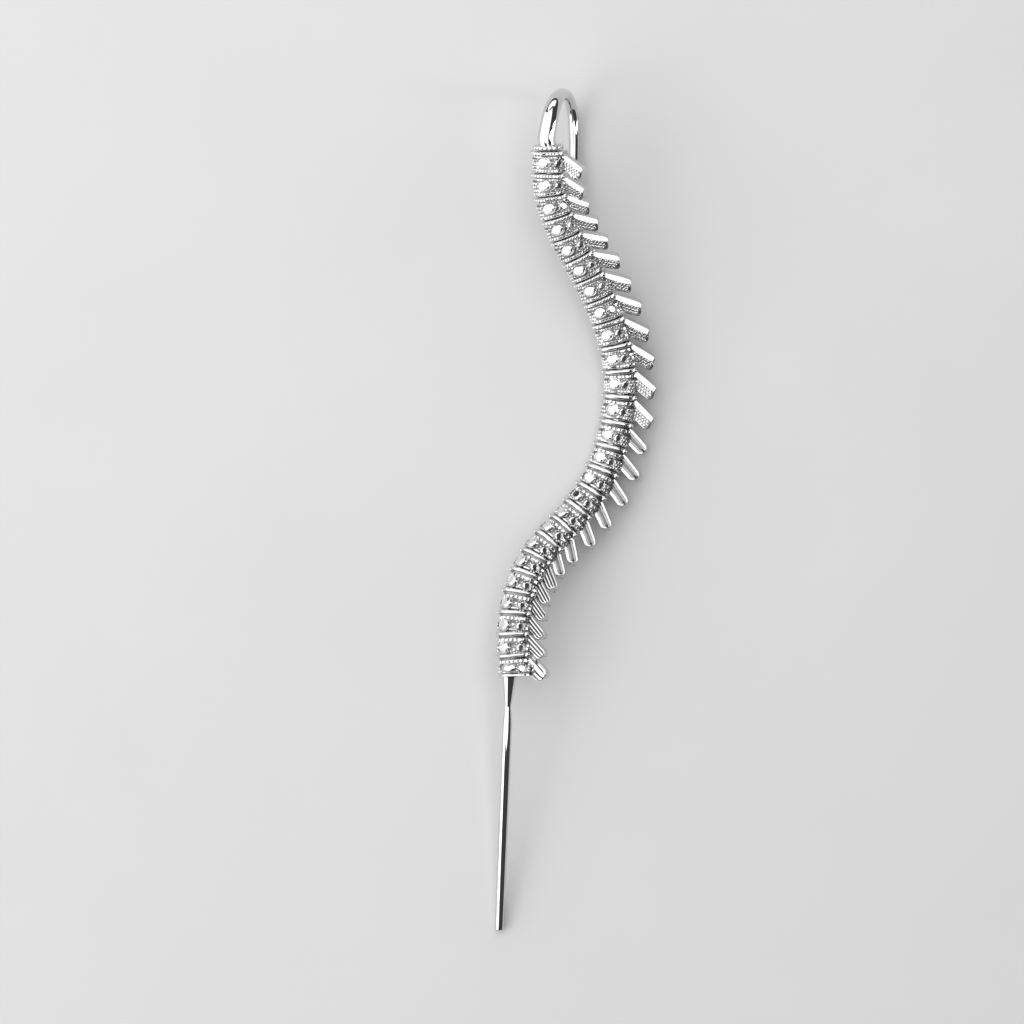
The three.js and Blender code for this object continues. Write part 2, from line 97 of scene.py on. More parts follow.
# The spine's line, as in the solids: down, sway and bow as shares of the height, sway and bow, then the
# roll of the front to the left and the lean of the fins in degrees, the fins' reach and thickness, where the
# stone block's middle lies, and the angles of the main and second stones.
SPINE_LINE = [
    (0.0, 0.3231, 0.0, 18, 34, 0.94, 0.76, 0.5, 6, -50),
    (0.0873, 0.3485, 0.16, 17, 33, 0.94, 0.8, 0.48, 12, -48),
    (0.1677, 0.4995, 0.36, 15, 34, 0.98, 0.88, 0.48, 14, -46),
    (0.2476, 0.7167, 0.57, 13, 39, 1.04, 0.94, 0.49, 14, -42),
    (0.3342, 0.9043, 0.77, 11, 40, 1.04, 0.98, 0.52, 18, -34),
    (0.4326, 1.0, 0.93, 9, 40, 1.0, 1.0, 0.58, 19, -26),
    (0.5379, 0.9435, 1.0, 8, 34, 0.98, 1.0, 0.65, 18, -26),
    (0.6312, 0.7835, 0.95, 8, 29, 1.03, 1.0, 0.7, 31, -26),
    (0.7052, 0.5187, 0.82, 9, 32, 1.0, 0.98, 0.71, 38, -22),
    (0.7675, 0.2437, 0.64, 12, 39, 0.92, 0.88, 0.72, 42, -22),
    (0.8367, 0.0678, 0.46, 15, 42, 0.88, 0.8, 0.74, 36, -32),
    (0.9166, 0.0, 0.34, 17, 46, 0.92, 0.8, 0.74, 30, -40),
    (1.0, 0.014, 0.3, 17, 50, 0.98, 1.04, 0.74, 22, -42),
]
COLUMNS = ("down", "sway", "bow", "roll", "lean", "reach", "thick", "block", "main", "second")

# The hook as it leaves the collar: along the spine's axis, right, up, back, and its radius.
HOOK_LINE = [
    (0.0, -0.12, 0.0, 0.0, 1.0),
    (0.1, -0.18, 0.0, 0.0, 1.0),
    (0.1, -0.06, 0.17, 0.0, 1.0),
    (0.1, 0.2, 0.41, 0.02, 0.97),
    (0.1, 0.55, 0.62, 0.11, 0.86),
    (0.1, 0.95, 0.74, 0.29, 0.76),
    (0.1, 1.36, 0.79, 0.51, 0.7),
    (0.1, 1.76, 0.75, 0.73, 0.65),
    (0.1, 2.06, 0.62, 0.89, 0.61),
    (0.1, 2.24, 0.43, 0.97, 0.59),
    (0.1, 2.32, 0.1, 1.0, 0.57),
    (0.1, 2.28, -0.45, 0.97, 0.55),
    (0.1, 2.12, -1.0, 0.9, 0.53),
    (0.1, 1.92, -1.55, 0.8, 0.5),
]


# The spine's line
class Path:
    """A smooth line through points, with the same centripetal spacing as the solids."""

    def __init__(self, points):
        self.points = points

    def at(self, share):
        points, last = self.points, len(self.points) - 1
        place = min(max(share, 0.0), 1.0) * last
        i = min(int(place), last - 1)
        t = place - i
        b, c = points[i], points[i + 1]
        a = points[i - 1] if i else 2 * points[0] - points[1]
        d = points[i + 2] if i + 2 <= last else 2 * points[last] - points[last - 1]
        ab, bc, cd = (max((q - p).length ** 0.5, 1e-4) for p, q in ((a, b), (b, c), (c, d)))
        leave = ((b - a) / ab - (c - a) / (ab + bc) + (c - b) / bc) * bc
        arrive = ((c - b) / bc - (d - b) / (bc + cd) + (d - c) / cd) * bc
        square = 3 * (c - b) - 2 * leave - arrive
        cube = 2 * (b - c) + leave + arrive
        return b + leave * t + square * t**2 + cube * t**3

    def along(self, share):
        return (self.at(min(share + 1e-4, 1.0)) - self.at(max(share - 1e-4, 0.0))).normalized()


SPINE = Path(
    [
        Vector(((row[1] - SPINE_LINE[0][1]) * SPINE_SWAY, -row[0] * SPINE_HEIGHT, -row[2] * SPINE_BOW))
        for row in SPINE_LINE
    ]
)


def read_line(name, number):
    place = min(max(number, 0.0), VERTEBRAE) / VERTEBRAE * (len(SPINE_LINE) - 1)
    row = min(int(place), len(SPINE_LINE) - 2)
    column = COLUMNS.index(name)
    return SPINE_LINE[row][column] + (SPINE_LINE[row + 1][column] - SPINE_LINE[row][column]) * (place - row)


class Station:
    """Where the spine is, so many vertebrae down: its axis, its fin side and its front."""

    def __init__(self, number, shift=0.0):
        share = min(max(number / VERTEBRAE, 0.0), 1.0)
        self.number = number
        self.down = SPINE.along(share)
        self.origin = SPINE.at(share) + self.down * shift
        front = Vector((0, 0, 1))
        front = (front - self.down * front.dot(self.down)).normalized()
        side = front.cross(self.down)
        roll = math.radians(read_line("roll", number))
        self.front = front * math.cos(roll) - side * math.sin(roll)
        self.side = side * math.cos(roll) + front * math.sin(roll)

    def out(self, turn):
        return self.front * math.cos(turn) - self.side * math.sin(turn)


def skin_radius(turn, size=1.0):
    across = abs(math.sin(turn)) / (BODY_WIDTH / 2 * size)
    out = abs(math.cos(turn)) / (BODY_DEPTH / 2 * size)
    return (across**BODY_SQUARENESS + out**BODY_SQUARENESS) ** (-1 / BODY_SQUARENESS)


# Shares of a vertebra's length: half of its stone block, and where the waist starts under the ridge.
BLOCK_HALF = 0.17
WAIST_START = 0.235

# Equal steps along the body's skin, from its front round to its back on the left.
SKIN_STEPS = 720
skin_reach = [0.0]
for step in range(SKIN_STEPS):
    ends = []
    for k in (step, step + 1):
        angle = math.pi * k / SKIN_STEPS
        ends.append(Vector((math.sin(angle), math.cos(angle))) * skin_radius(angle))
    skin_reach.append(skin_reach[-1] + (ends[1] - ends[0]).length)


def skin_turn(distance, size=1.0):
    """The angle from the front, to the left, of a point so far along the skin."""
    wanted = abs(distance) / size
    low = next((k for k in range(SKIN_STEPS) if skin_reach[k + 1] >= wanted), SKIN_STEPS - 1)
    part = (wanted - skin_reach[low]) / (skin_reach[low + 1] - skin_reach[low])
    return math.copysign(math.pi * (low + min(part, 1.0)) / SKIN_STEPS, distance)


class Vertebra:
    """One vertebra: the stretch of the spine that it covers and the places of its stones."""

    def __init__(self, index):
        self.index = index
        self.pitch = (Station(index + 1).origin - Station(index).origin).length
        self.gap = JOINT_GAP / self.pitch
        self.length = self.pitch - JOINT_GAP
        self.block = read_line("block", index + 0.5)
        self.main = math.radians(read_line("main", index + 0.5))
        self.second = math.radians(read_line("second", index + 0.5))
        self.closing = index == VERTEBRAE - 1

    def station(self, share):
        return Station(self.index + self.gap / 2 + share * (1 - self.gap))

    def waist(self):
        """The middle of the narrow band under the ridge, and the place where the stone block begins."""
        begin = self.block - BLOCK_HALF
        return (WAIST_START + begin) / 2, begin

    def seat(self, share, turn, lift=0.0, size=1.0):
        """A place on the skin: X across the spine, Y up it, Z out of it."""
        station = self.station(share)
        out = station.out(turn)
        return basis(station.origin + out * (skin_radius(turn, size) + lift), out, -station.down)

    def main_seat(self, lift=0.0):
        return self.seat(self.block, self.main, lift)

    def second_seat(self, lift=0.0):
        return self.seat(self.block + SECOND_DROP, self.second, lift)

    def skin(self, share, turn, size=1.0, lift=0.0):
        """As a seat, but square to the skin itself."""
        station = self.station(share)
        here = station.out(turn) * skin_radius(turn, size)
        there = station.out(turn + 0.01) * skin_radius(turn + 0.01, size)
        out = (there - here).cross(station.down).normalized()
        if out.dot(here) < 0:
            out = -out
        return basis(station.origin + here + out * lift, out, -station.down)


def basis(origin, out, up):
    across = up.cross(out).normalized()
    up = out.cross(across)
    return Matrix.Translation(origin) @ Matrix((across, up, out)).transposed().to_4x4()


VERTEBRAE_LIST = [Vertebra(i) for i in range(VERTEBRAE)]


# Finishes
class Wire:
    """An output of a shader node, so that sums on it are written as plain arithmetic."""

    def __init__(self, bench, socket):
        self.bench, self.socket = bench, socket

    def sum(self, operation, *others):
        values = dict(enumerate((self,) + others))
        return self.bench.add("ShaderNodeMath", {"operation": operation}, values)

    def __add__(self, other):
        return self.sum("ADD", other)

    def __mul__(self, other):
        return self.sum("MULTIPLY", other)

    __radd__ = __add__
    __rmul__ = __mul__


class Bench:
    """One material and the nodes on it."""

    def __init__(self, name, **constants):
        self.material = bpy.data.materials.new(name)
        self.material.use_nodes = True
        self.tree = self.material.node_tree
        self.shader = self.tree.nodes["Principled BSDF"]
        self.set(**constants)

    def set(self, **sockets):
        for name, value in sockets.items():
            socket = self.shader.inputs[name.replace("_", " ")]
            if isinstance(value, Wire):
                self.tree.links.new(value.socket, socket)
            else:
                socket.default_value = value
        return self

    def add(self, kind, settings=None, values=None, output=0):
        node = self.tree.nodes.new(kind)
        for name, value in (settings or {}).items():
            if name == "stops":
                ramp = node.color_ramp.elements
                while len(ramp) < len(value):
                    ramp.new(0.5)
                for stop, (place, tone) in zip(ramp, value):
                    stop.position, stop.color = place, (tone, tone, tone, 1)
            else:
                setattr(node, name, value)
        for key, value in (values or {}).items():
            if isinstance(value, Wire):
                self.tree.links.new(value.socket, node.inputs[key])
            else:
                node.inputs[key].default_value = value
        return Wire(self, node.outputs[output])

    def place(self):
        return self.add("ShaderNodeTexCoord", output="Object")

    def noise(self, scale, detail=3.0, where=None):
        values = {"Vector": where or self.place(), "Scale": scale, "Detail": detail}
        return self.add("ShaderNodeTexNoise", {}, values, "Fac")

    def ramp(self, value, stops):
        return self.add("ShaderNodeValToRGB", {"stops": stops}, {"Fac": value})

    def blend(self, factor, first, second):
        return self.add(
            "ShaderNodeMix", {"data_type": "RGBA"}, {"Factor": factor, 6: (*first, 1), 7: (*second, 1)}, 2
        )

    def bump(self, height, strength, distance):
        return self.add("ShaderNodeBump", {}, {"Height": height, "Strength": strength, "Distance": distance})


def make_polished_metal(name, tone, gloss):
    """White metal off the buffing wheel, with faint drag marks.

    Where a mesh marks its grooves, slots and the ground between small stones, the base colour is painted dark
    there as shade and the metal is made duller; a faint cloud of random tone is mixed into both.
    """
    bench = Bench(name, Metallic=1.0)
    drag = bench.add("ShaderNodeMapping", {}, {"Vector": bench.place(), "Scale": (9000.0, 1400.0, 9000.0)})
    marks = bench.noise(1.0, 2.0, drag)
    cloud = bench.noise(900.0, 3.0)
    # Painted shade: how dark the hollows are painted, read from the mesh, darkens the base colour below.
    recess = bench.add("ShaderNodeAttribute", {"attribute_name": "recess"}, output="Fac")
    bench.set(
        Roughness=bench.ramp(cloud * 0.12 + marks * 0.08 + recess * 0.8, [(0.05, gloss), (1.0, gloss + 0.3)]),
        Base_Color=bench.blend(recess * 0.95 + cloud * 0.05, [tone] * 3, [0.2, 0.2, 0.2]),
        Normal=bench.bump(marks, 0.06, 0.00001),
    )
    return bench.material


def make_clear_stone(name, tone):
    """A colourless cut stone, with a trace of cloud inside and hard bright facets."""
    bench = Bench(name, Roughness=0.0, IOR=2.2, Transmission_Weight=1.0, Metallic=0.68)
    cloud = bench.noise(2500.0, 2.0)
    bench.set(Base_Color=bench.blend(cloud, [tone * 0.97] * 3, [tone, tone, tone]))
    return bench.material


def make_pale_table(name):
    bench = Bench(name, Roughness=0.6)
    grain = bench.noise(60.0, 4.0)
    bench.set(Base_Color=bench.blend(grain, (0.6, 0.6, 0.6), (0.63, 0.63, 0.63)))
    return bench.material


WHITE_METAL = make_polished_metal("polished white metal", 0.68, 0.05)
WIRE_METAL = make_polished_metal("drawn white metal wire", 0.7, 0.03)
CLEAR_STONE = make_clear_stone("clear cut stone", 1.0)
PALE_TABLE = make_pale_table("pale table")


# Making meshes
def mesh_from(name, points, faces, smooth=True):
    mesh = bpy.data.meshes.new(name)
    mesh.from_pydata([tuple(point) for point in points], [], faces)
    mesh.polygons.foreach_set("use_smooth", [smooth] * len(mesh.polygons))
    mesh.update()
    return mesh


class Stock:
    """Points and faces that are gathered into one mesh."""

    def __init__(self):
        self.points, self.faces, self.recess = [], [], {}

    def loft(self, rings, close_start=True, close_end=True, recess=None):
        """A skin through rings of equal count, each turning left round the way the rings go."""
        count, base = len(rings[0]), len(self.points)
        for row, ring in enumerate(rings):
            for i in range(count if recess else 0):
                self.recess[len(self.points) + i] = recess[row][i]
            self.points += ring
        for row in range(len(rings) - 1):
            for i in range(count):
                j = (i + 1) % count
                a, b = base + row * count, base + (row + 1) * count
                self.faces.append((a + i, a + j, b + j, b + i))
        for wanted, row, turned in ((close_start, 0, True), (close_end, len(rings) - 1, False)):
            if wanted:
                middle = len(self.points)
                self.points.append(sum(rings[row], Vector()) / count)
                start = base + row * count
                for i in range(count):
                    a, b = start + i, start + (i + 1) % count
                    self.faces.append((middle, b, a) if turned else (middle, a, b))
        return self

    def mesh(self, name, smooth=True):
        mesh = mesh_from(name, self.points, self.faces, smooth)
        # Writes the shade painted into the hollows onto the mesh as a point attribute, for the metal's base
        # colour.
        if self.recess:
            ground = mesh.attributes.new("recess", "FLOAT", "POINT")
            for i, value in self.recess.items():
                ground.data[i].value = value
        return mesh


def turn_faces_out(mesh, crease=None):
    """Turns the faces outwards, and leaves the edges that fold by more than so many degrees crisp."""
    shape = bmesh.new()
    shape.from_mesh(mesh)
    bmesh.ops.recalc_face_normals(shape, faces=shape.faces)
    for edge in shape.edges if crease is not None else ():
        if len(edge.link_faces) == 2 and edge.calc_face_angle(0.0) > math.radians(crease):
            edge.smooth = False
    shape.to_mesh(mesh)
    shape.free()
    return mesh


def finish_piece(name, mesh, material, slot, *nodes, crease=None):
    """Lays a mesh that is drawn in worn millimetres on the table and gives it to the frame."""
    mesh.transform(TABLE_FROM_WORN)
    if crease is not None:
        turn_faces_out(mesh, crease)
    piece = bpy.data.objects.new(name, mesh)
    bpy.context.scene.collection.objects.link(piece)
    if not mesh.materials:
        mesh.materials.append(material)
    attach(piece, "root")
    if nodes:
        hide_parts(*nodes)
    return piece


# What repeats
def make_setter():
    """Geometry nodes that set one form on every point of a mesh, turned and stretched as the point says."""
    tree = bpy.data.node_groups.new("set on every place", "GeometryNodeTree")
    face = tree.interface
    face.new_socket("Places", in_out="INPUT", socket_type="NodeSocketGeometry")
    inputs = {"Form": "Object", "Finish": "Material", "Size": "Float", "Loose turn": "Float", "Seed": "Int"}
    for name, kind in inputs.items():
        face.new_socket(name, in_out="INPUT", socket_type="NodeSocket" + kind)
    face.new_socket("Set", in_out="OUTPUT", socket_type="NodeSocketGeometry")

    def add(kind, **settings):
        node = tree.nodes.new(kind)
        for name, value in settings.items():
            setattr(node, name, value)
        return node

    def join(first, output, second, value):
        tree.links.new(first.outputs[output], second.inputs[value])

    given, result = add("NodeGroupInput"), add("NodeGroupOutput")
    form = add("GeometryNodeObjectInfo", transform_space="ORIGINAL")
    turn = add("GeometryNodeInputNamedAttribute", data_type="FLOAT_VECTOR")
    turn.inputs["Name"].default_value = "turn"
    span = add("GeometryNodeInputNamedAttribute", data_type="FLOAT_VECTOR")
    span.inputs["Name"].default_value = "span"
    size = add("ShaderNodeVectorMath", operation="SCALE")
    square = add("FunctionNodeEulerToRotation")
    chance = add("FunctionNodeRandomValue", data_type="FLOAT")
    about = add("FunctionNodeAxisAngleToRotation")
    about.inputs["Axis"].default_value = (0, 0, 1)
    loose = add("FunctionNodeRotateRotation", rotation_space="LOCAL")
    less = add("ShaderNodeMath", operation="MULTIPLY")
    less.inputs[1].default_value = -1.0
    setter = add("GeometryNodeInstanceOnPoints")
    real = add("GeometryNodeRealizeInstances")
    dress = add("GeometryNodeSetMaterial")
    join(given, "Form", form, "Object")
    join(turn, "Attribute", square, "Euler")
    join(given, "Loose turn", less, 0)
    join(less, 0, chance, 2)
    join(given, "Loose turn", chance, 3)
    join(given, "Seed", chance, "Seed")
    join(chance, 1, about, "Angle")
    join(square, "Rotation", loose, "Rotation")
    join(about, "Rotation", loose, "Rotate By")
    join(span, "Attribute", size, 0)
    join(given, "Size", size, "Scale")
    join(given, "Places", setter, "Points")
    join(form, "Geometry", setter, "Instance")
    join(loose, "Rotation", setter, "Rotation")
    join(size, 0, setter, "Scale")
    join(setter, "Instances", real, "Geometry")
    join(real, "Geometry", dress, "Geometry")
    join(given, "Finish", dress, "Material")
    join(dress, "Geometry", result, "Set")
    return tree


SETTER = make_setter()


def set_forms(name, form, places, material, size=1.0, loose=0.0, seed=1):
    """One plain mesh of a form set on many places, each a matrix and a stretch."""
    host_mesh = bpy.data.meshes.new(name + " places")
    host_mesh.from_pydata([tuple(spot.to_translation()) for spot, _ in places], [], [])
    turn = host_mesh.attributes.new("turn", "FLOAT_VECTOR", "POINT")
    span = host_mesh.attributes.new("span", "FLOAT_VECTOR", "POINT")
    for i, (spot, stretch) in enumerate(places):
        turn.data[i].vector = tuple(spot.to_euler())
        span.data[i].vector = stretch
    pattern = bpy.data.objects.new(name + " form", form)
    host = bpy.data.objects.new(name + " host", host_mesh)
    for thing in (pattern, host):
        bpy.context.scene.collection.objects.link(thing)
    setting = host.modifiers.new("set", "NODES")
    setting.node_group = SETTER
    sockets = {item.name: item.identifier for item in SETTER.interface.items_tree if item.in_out == "INPUT"}
    values = {"Form": pattern, "Finish": material, "Size": size, "Loose turn": loose, "Seed": seed}
    for socket, value in values.items():
        setting[sockets[socket]] = value
    bpy.context.view_layer.update()
    seen = host.evaluated_get(bpy.context.evaluated_depsgraph_get())
    result = bpy.data.meshes.new_from_object(seen)
    result.name = name
    host.modifiers.remove(setting)
    for thing in (pattern, host):
        bpy.data.objects.remove(thing)
    return result


# Forms that are set many times
def circle(radius, z, sides, turn=0.0):
    """Points round Z at one height, the first of them turned on by a share of a side."""
    angles = [2 * math.pi * (i + turn) / sides for i in range(sides)]
    return [Vector((radius * math.cos(angle), radius * math.sin(angle), z)) for angle in angles]


def brilliant_cut(sides, table, crown=0.16, pavilion=0.42, girdle=0.03):
    """A round stone one unit across, its girdle on the XY plane, with table, crown and pavilion facets."""
    kites = circle((table + 1) / 4 * 1.06, crown * 0.56, sides, 0.5)
    upper, lower = (circle(0.5, z, 2 * sides) for z in (girdle / 2, -girdle / 2))
    stock = Stock()
    stock.points = circle(table / 2, crown, sides) + kites + upper + lower + [Vector((0, 0, -pavilion))]
    kite, edge, foot, tip = sides, 2 * sides, 4 * sides, 6 * sides
    stock.faces.append(tuple(range(sides)))
    for i in range(sides):
        j = (i + 1) % sides
        a, b, c = 2 * i, 2 * i + 1, (2 * i + 2) % (2 * sides)
        stock.faces += [
            (j, i, kite + i),
            (kite + i, i, edge + a),
            (kite + i, edge + a, edge + b),
            (kite + i, edge + b, edge + c),
            (kite + i, edge + c, j),
        ]
        for p, q in ((a, b), (b, c)):
            stock.faces += [(edge + p, foot + p, foot + q, edge + q), (foot + p, tip, foot + q)]
    return turn_faces_out(stock.mesh("brilliant cut", smooth=False))


def single_cut(sides, table, crown=0.16, pavilion=0.42, girdle=0.03):
    """The plain cut of the smallest stones: a table, one row of crown facets, a girdle and a pavilion."""
    stock = Stock()
    for radius, z, turn in ((table / 2, crown, 0.5), (0.5, girdle / 2, 0.0), (0.5, -girdle / 2, 0.0)):
        stock.points += circle(radius, z, sides, turn)
    stock.points.append(Vector((0, 0, -pavilion)))
    stock.faces.append(tuple(range(sides)))
    for i in range(sides):
        j = (i + 1) % sides
        stock.faces += [
            (i, sides + i, sides + j),
            (j, i, sides + j),
            (sides + i, 2 * sides + i, 2 * sides + j, sides + j),
            (2 * sides + i, 3 * sides, 2 * sides + j),
        ]
    return turn_faces_out(stock.mesh("single cut", smooth=False))


def round_bead(rows=4, sides=8, sink=0.35):
    """A raised bead one unit across: a little over a half ball, with its foot sunk."""
    angles = [-sink + (math.pi / 2 + sink) * row / rows for row in range(rows)]
    rings = [circle(0.5 * math.cos(angle), 0.5 * math.sin(angle), sides) for angle in angles]
    stock = Stock().loft(rings, close_end=False)
    top = len(stock.points)
    stock.points.append(Vector((0, 0, 0.5)))
    last = (rows - 1) * sides
    for i in range(sides):
        stock.faces.append((last + i, last + (i + 1) % sides, top))
    return stock.mesh("bead")


def turned_form(profile, sides):
    """A form turned about Z from a half profile that runs upwards on its outside."""
    return Stock().loft([circle(radius, z, sides) for radius, z in profile]).mesh("turned form")


BRILLIANT = brilliant_cut(8, table=0.68)
SINGLE_CUT = single_cut(8, table=0.6)
BEAD = round_bead()
LARGE_BEAD = round_bead(8, 20, 0.9)


# The vertebrae's bodies
BODY_SIDES = 80
# A pocket's radius and depth under a main stone and under a second stone, its depth at the rim, and how far
# under the skin's front a point may lie and still be in it.
MAIN_POCKET = (0.48, 0.36)
SECOND_POCKET = (0.33, 0.24)
POCKET_RIM = 0.05
POCKET_SIDE_REACH = 0.4
# Each second stone sits a little lower than its main stone, as a share of the vertebra's length.
SECOND_DROP = 0.05
# The upper vertebrae have small stones on their ridges too; the others have polished ridges.
PAVE_RIDGES = 9


def body_profile(vertebra):
    """The body's size from top to bottom: a rounded ridge, a narrow waist, a block with soft edges."""
    begin = vertebra.waist()[1]
    rows = [(0.0, 0.86), (0.008, 0.93), (0.03, 1.0), (0.065, 1.045), (0.105, 1.06), (0.145, 1.045)]
    rows += [(0.18, 1.0), (0.205, 0.93), (0.225, 0.885), (begin - 0.03, 0.88), (begin - 0.005, 0.9)]
    rows += [(begin + 0.025, 0.965), (begin + 0.055, 0.99)]
    top, bottom, steps = begin + 0.055, 0.9, 12
    rows += [(top + (bottom - top) * step / steps, 1.0) for step in range(1, steps + 1)]
    return rows + [(0.945, 0.98), (0.975, 0.95), (0.993, 0.91), (1.0, 0.86)]


def pocket_depth(point, seats):
    """How deep the skin is drilled out here, under a stone's pavilion."""
    deepest = 0.0
    for seat, radius, depth in seats:
        local = seat @ point
        away = math.hypot(local.x, local.y)
        if away < radius and local.z > -POCKET_SIDE_REACH:
            deepest = max(deepest, depth * (1 - away / radius) + POCKET_RIM)
    return deepest


def body_ring(station, size, sides=BODY_SIDES, seats=()):
    ring = []
    for i in range(sides):
        turn = 2 * math.pi * (i + 0.5) / sides
        out = station.out(turn)
        point = station.origin + out * skin_radius(turn, size)
        ring.append(point - out * pocket_depth(point, seats))
    return ring


def make_bodies():
    stock = Stock()
    for vertebra in VERTEBRAE_LIST:
        seats = [(vertebra.second_seat().inverted(), *SECOND_POCKET)]
        if not vertebra.closing:
            seats.append((vertebra.main_seat().inverted(), *MAIN_POCKET))
        profile = body_profile(vertebra)
        rings = [body_ring(vertebra.station(share), size, BODY_SIDES, seats) for share, size in profile]
        # Painted shade: the body is painted dark from the ridge (where it carries small stones) or from the
        # waist, down to the block's lower rim; the polished ridge and the rim stay bright.
        dark_from = 0.05 if vertebra.index < PAVE_RIDGES else 0.2
        dark = [1.0 if dark_from < share < 0.94 else 0.0 for share, _ in profile]
        stock.loft(rings, recess=[[shade] * BODY_SIDES for shade in dark])
    nodes = [f"vertebra_{vertebra.index + 1:02d}" for vertebra in VERTEBRAE_LIST]
    castings = stock.mesh("castings")
    return finish_piece("vertebra_castings", castings, WHITE_METAL, "polished_metal", *nodes, crease=60)


# The fins
def fin_station(vertebra):
    """A fin's sizes and its own axes: X outwards from the flank, Y up across the fin, Z out of its front."""
    station = vertebra.station(0.5)
    lean = math.radians(read_line("lean", station.number))
    outward = station.side * math.cos(lean) + station.down * math.sin(lean)
    upward = station.side * math.sin(lean) - station.down * math.cos(lean)
    back = BODY_DEPTH / 2 - FIN_SETBACK - FIN_DEPTH
    origin = station.origin + station.side * (BODY_WIDTH / 2) + station.front * back
    matrix = Matrix.Translation(origin) @ Matrix((outward, upward, station.front)).transposed().to_4x4()
    thick = read_line("thick", station.number)
    return {
        "matrix": matrix,
        "lean": lean,
        "root": FIN_ROOT_THICKNESS * thick,
        "tip": FIN_TIP_THICKNESS * thick,
        "reach": FIN_LENGTH * read_line("reach", station.number),
        "top": vertebra.length * 0.5 - 0.1,
        "nod": math.atan2(-station.front.y, station.front.z),
    }


PAVE_FINS = 12
SLOTTED_FINS = 7


def fin_style(index):
    """Pave fins on top, then slotted and fluted ones, and the petal that closes the row."""
    if index < PAVE_FINS:
        return "pave"
    if index < PAVE_FINS + SLOTTED_FINS:
        return "slot"
    return "closing" if index == VERTEBRAE - 1 else "fluted"


# How far the front of a fin's lower edge stands out under its back.
FIN_LOWER_LIP = {"pave": 0.3, "slot": 0.2, "fluted": 0.32, "closing": 0.4}
# How far the facet of a pave fin stands up over its back, and its lower corner juts out past the upper one.
FACET_LIP = 0.1
FIN_JUT = 0.16
# The facet's own tilt, to which the spine's nod is added, so that all the facets face the same way.
FACET_TILT = math.radians(15)
# The corner of the fins with round tips, as a share of the tip's thickness.
ROUND_CORNER_SHARE = 0.48
# The rounding of a fin's long edges, and how much less deep its tip is on each side.
FIN_EDGE = 0.06
TIP_FALL = 0.1
# Points up a fin's front and round its back, and rings along it and round its tip.
FRONT_POINTS = 41
BACK_POINTS = 10
FIN_RINGS = 14
TIP_RINGS = 7


def facet_foot(part):
    """Where the facet of a pave fin starts, as a share of its height: it narrows towards both ends."""
    return 0.74 + 0.13 * abs(2 * part - 1) ** 3


def fin_relief(style, v, shape, facet):
    """How far a fin's front lies behind its full depth, and how dark it is painted there as shade, v up from
    its foot.
    """
    # The second number is painted shade: the pave ground below the facet, the slot's floor and its deeper
    # middle, the flutes' grooves and the petal's groove are painted dark.
    if style == "pave":
        if v > facet:
            return (v - facet) * shape["root"] * math.tan(FACET_TILT + shape["nod"]), 0.0
        return (0.06, 1.0) if 0.05 < v < facet - 0.03 else (0.0, 0.0)
    if style == "slot":
        if 0.4 < v < 0.6:
            return 0.34, 1.3
        return (0.12, 0.8) if 0.2 < v < 0.82 else (0.0, 0.0)
    if style == "fluted":
        wave = abs(math.cos(v * math.pi * 3.5))
        return 0.14 * wave**4 + 0.1 * (2 * v - 1) ** 2, 1.3 * wave**4
    groove = max(0.0, 1 - abs(v - 0.42) / 0.09)
    return 0.2 * groove + 0.34 * (2 * v - 1) ** 2, 1.3 * groove


def front_shares(facet):
    """Steps up a fin's front, one of them at the foot of its facet."""
    bend = (FRONT_POINTS - 1) * 3 // 4
    rest = FRONT_POINTS - 1 - bend
    below = [facet * k / bend for k in range(bend + 1)]
    return below + [facet + (1 - facet) * k / rest for k in range(1, rest + 1)]


